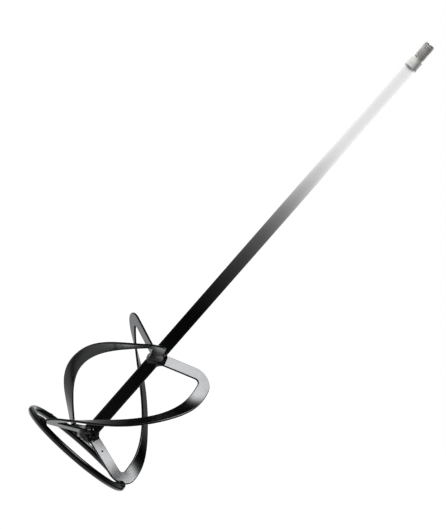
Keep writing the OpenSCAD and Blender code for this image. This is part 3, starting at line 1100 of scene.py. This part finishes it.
# ------------------------------------------------------------------ camera
def build_camera():
    """Looks slightly down, heavily rolled, from off to the side of the ring's centre."""
    tilt, roll = math.radians(2.60), math.radians(41.24)
    back, shift_right, shift_up = 2911.83254, 163.21053, 204.80861    # from ring's centre
    forward = np.array([0, math.cos(tilt), -math.sin(tilt)])
    level_up = np.array([0, math.sin(tilt), math.cos(tilt)])
    level_right = np.array([1.0, 0, 0])
    right = math.cos(roll)*level_right + math.sin(roll)*level_up
    up = math.cos(roll)*level_up - math.sin(roll)*level_right
    eye = shift_right*right + shift_up*up - back*forward + np.array([0, 0, ROD_R])
    eye, right, up, forward = (turn_z(v, -VIEW_TURN) for v in (eye, right, up, forward))
    data = bpy.data.cameras.new("camera")
    camera = new_object("camera", data)
    matrix = Matrix((tuple(right), tuple(up), tuple(-forward))).transposed().to_4x4()
    matrix.translation = Vector(eye * MM)
    camera.matrix_world = matrix
    data.sensor_width = 36.0
    data.lens = 177.493611
    data.clip_end = 50
    bpy.context.scene.camera = camera


# ------------------------------------------------------------------ world
# Room brightness against the direction's z (-1 down, 1 up), before the camera turn.
SOFT_BOX = [(.885, 0), (.930, .28), (.951, 1.7), (.967, 6.2), (.979, 12.6), (1, 13.9)]
FRONT = [(-1, .53), (-.8, .55), (-.62, .66), (-.40, .46), (-.22, .20), (-.12, .02),
         (.06, .01), (.14, .05), (.22, .19), (.32, .19), (.42, .14), (.50, .04), (.56, 0),
         *SOFT_BOX]                                  # on the camera's side
BACK = [(-1, .56), (-.9, .66), (-.8, .84), (-.62, 1.16), (-.56, 1.17), (-.50, .96),
        (-.44, .62), (-.36, .70), (-.30, .92), (-.22, .72), (-.15, .16), (-.09, .06),
        (.05, .03), (.12, .10), (.25, .38), (.40, .34), (.50, .18), (.62, .07), (.72, 0),
        *SOFT_BOX]                                  # beyond the object


def build_world():
    """The camera sees a plain white sweep. Everything else sees a dim room with a pale
    glow from below and one large soft box overhead."""
    world = bpy.data.worlds.new("studio")
    bpy.context.scene.world = world
    tree = empty_tree(world)
    coords = node(tree, "ShaderNodeTexCoord")
    x, y, z = split_in_view(tree, coords.outputs["Generated"])
    height = remap(tree, z, span=(-1, 1))
    front, back = (ramp(tree, height, [((at + 1)/2, value) for at, value in table], gain=20)
                   for table in (FRONT, BACK))
    x2, y2 = calc(tree, "MULTIPLY", x, x), calc(tree, "MULTIPLY", y, y)
    level_length = calc(tree, "SQRT", calc(tree, "ADD", x2, calc(tree, "ADD", y2, 1e-6)))
    behind = remap(tree, calc(tree, "DIVIDE", y, level_length), span=(-0.05, 0.65))
    light = mix_value(tree, behind, front, back)
    # a narrow pale strip straight behind the object, near the horizon: the ends of the
    # ring catch it at a glance
    strip_brightness = 0.85
    strip = calc(tree, "MULTIPLY", remap(tree, y, span=(0.90, 0.975)),
                 remap(tree, calc(tree, "ABSOLUTE", z), span=(0.30, 0.12)))
    brightness = mix_value(tree, strip, light, strip_brightness)
    slightly_cool, white = (.962, .980, 1, 1), (1, 1, 1, 1)
    room = node(tree, "ShaderNodeBackground", {"Color": slightly_cool, "Strength": brightness})
    sweep = node(tree, "ShaderNodeBackground", {"Color": white, "Strength": 1.0})
    rays = node(tree, "ShaderNodeLightPath")
    pick = node(tree, "ShaderNodeMixShader", {
        0: rays.outputs["Is Camera Ray"], 1: room.outputs[0], 2: sweep.outputs[0]})
    node(tree, "ShaderNodeOutputWorld", {0: pick.outputs[0]})


# ------------------------------------------------------------------ floor and light cards
def stage_mesh(name, verts_mm, faces, material):
    ob = new_object(name, new_mesh(name, verts_mm, faces, material))
    return ob


def build_floor():
    """Nearly self-lit, so that it melts into the sweep and keeps a faint contact shadow."""
    material = bpy.data.materials.new("pale_floor")
    tree = empty_tree(material)
    diffuse = node(tree, "ShaderNodeBsdfDiffuse", {"Color": (0.07, 0.07, 0.07, 1)})
    glow = node(tree, "ShaderNodeEmission", {"Strength": 0.98})
    pale = node(tree, "ShaderNodeAddShader", {0: diffuse.outputs[0], 1: glow.outputs[0]})
    geometry = node(tree, "ShaderNodeNewGeometry")
    clear = node(tree, "ShaderNodeBsdfTransparent")  # from below it isn't there at all
    one_way = node(tree, "ShaderNodeMixShader", {
        0: geometry.outputs["Backfacing"], 1: pale.outputs[0], 2: clear.outputs[0]})
    node(tree, "ShaderNodeOutputMaterial", {0: one_way.outputs[0]})
    half, z = 6000, -0.4
    corners = [(-half, -half, z), (half, -half, z), (half, half, z), (-half, half, z)]
    floor = stage_mesh("floor", corners, [(0, 1, 2, 3)], material)
    floor.visible_glossy = False
    floor.visible_diffuse = False
    floor.visible_shadow = False


def card_material(name, strength_at):
    """See-through glow; strength_at(tree, x, y, z) gives its strength at a place (metres),
    turned so that the camera looks along +Y."""
    material = bpy.data.materials.new(name)
    tree = empty_tree(material)
    place = split_in_view(tree, object_position(tree))
    glow = node(tree, "ShaderNodeEmission", {"Strength": strength_at(tree, *place)})
    clear = node(tree, "ShaderNodeBsdfTransparent")
    both = node(tree, "ShaderNodeAddShader", {0: glow.outputs[0], 1: clear.outputs[0]})
    node(tree, "ShaderNodeOutputMaterial", {0: both.outputs[0]})
    return material


def tube_card(name, radius, low, high, strength_at, receivers):
    """Upright tube of light round the shaft that shines on the named pieces only."""
    verts, segments = [], 72
    for z in (low, high):
        for k in range(segments + 1):
            a = math.radians(-270 + 360*k/segments) - VIEW_TURN
            verts.append((radius*math.cos(a), radius*math.sin(a), z))
    row = segments + 1
    faces = [(k, k + 1, row + 1 + k, row + k) for k in range(segments)]
    card = stage_mesh(name, verts, faces, card_material(name, strength_at))
    card.visible_camera = False
    card.visible_diffuse = False
    card.visible_shadow = False
    card.visible_transmission = False
    lit = bpy.data.collections.new(name + "_lights")
    for receiver in receivers:
        lit.objects.link(bpy.data.objects[receiver])
    card.light_linking.receiver_collection = lit


SHEEN_R, SHEEN_LO, SHEEN_HI = 120.0, 200.0, 640.0
# height, brightness
SHEEN = [(200, 0), (222, .10), (245, .30), (280, .92), (317, 2.1), (352, 4.9), (374, 8.2),
         (400, 12.2), (425, 15.5), (450, 17.6), (480, 18.6), (640, 18.6)]
# y / radius (-1 nearest the camera), share of the brightness: weaker towards the back,
# where the paint reflects more of it
SHEEN_SIDE = [(-1, 1), (-.5, 1), (-.17, .93), (.17, .78), (.454, .55), (.616, .40),
              (.766, .27), (.866, .18), (1, .08)]


def sheen_strength(tree, x, y, z):
    """Light that grows with height and gives the upper shaft its long pale sheen."""
    up = remap(tree, z, span=(SHEEN_LO*MM, SHEEN_HI*MM))
    stops = [((at - SHEEN_LO)/(SHEEN_HI - SHEEN_LO), value) for at, value in SHEEN]
    by_height = ramp(tree, up, stops, gain=24)
    depth = calc(tree, "DIVIDE", y, SHEEN_R*MM)
    by_side = ramp(tree, remap(tree, depth, span=(-1, 1)),
                   [((at + 1)/2, value) for at, value in SHEEN_SIDE], gain=1)
    # only level rays, off the upright shaft, see it
    geometry = node(tree, "ShaderNodeNewGeometry")
    ray_x, ray_y, ray_z = split_in_view(tree, geometry.outputs["Incoming"])
    level = remap(tree, calc(tree, "ABSOLUTE", ray_z), span=(0.25, 0.45), to=(1, 0))
    # and only rays that left the shaft as the main camera's do: where a ray passed the
    # axis tells which side it was looked at from, so that from the other sides the shaft
    # keeps its plain black
    cross = calc(tree, "SUBTRACT", calc(tree, "MULTIPLY", x, ray_y),
                 calc(tree, "MULTIPLY", y, ray_x))
    ray_x2, ray_y2 = (calc(tree, "MULTIPLY", ray, ray) for ray in (ray_x, ray_y))
    run = calc(tree, "SQRT", calc(tree, "ADD", ray_x2, calc(tree, "ADD", ray_y2, 1e-6)))
    passed = calc(tree, "DIVIDE", cross, calc(tree, "MULTIPLY", run, SHAFT_R*MM))
    expected = calc(tree, "MULTIPLY", calc(tree, "SIGN", x),
                    calc(tree, "SQRT", remap(tree, depth, span=(-1, 1))))
    miss = calc(tree, "ABSOLUTE", calc(tree, "ADD", passed, expected))
    from_camera = remap(tree, miss, span=(0.16, 0.36), to=(1, 0))
    strength = calc(tree, "MULTIPLY", by_height, by_side)
    strength = calc(tree, "MULTIPLY", strength, level)
    return calc(tree, "MULTIPLY", strength, from_camera)


def steel_card_strength(tree, x, y, z):
    """Brighter on the camera's left, so that the thread and flats are readable."""
    return remap(tree, x, span=(-0.12, 0.12), to=(1.5, 0.35))


# ------------------------------------------------------------------ build
build_blades()
build_shaft()
build_spindle_end()
build_ring()
build_blade_welds()
build_spigot_bead()
build_ring_butt_bead()
build_end_seal_bead()
build_camera()
build_world()
build_floor()
tube_card("reflector", SHEEN_R, SHEEN_LO, SHEEN_HI, sheen_strength,
          receivers=("shaft_pipe", "spigot_bead"))
tube_card("steel_card", 130.0, 520.0, 680.0, steel_card_strength, receivers=("spindle_end",))

bpy.context.scene.view_settings.view_transform = "Standard"
bpy.context.scene.view_settings.look = "None"
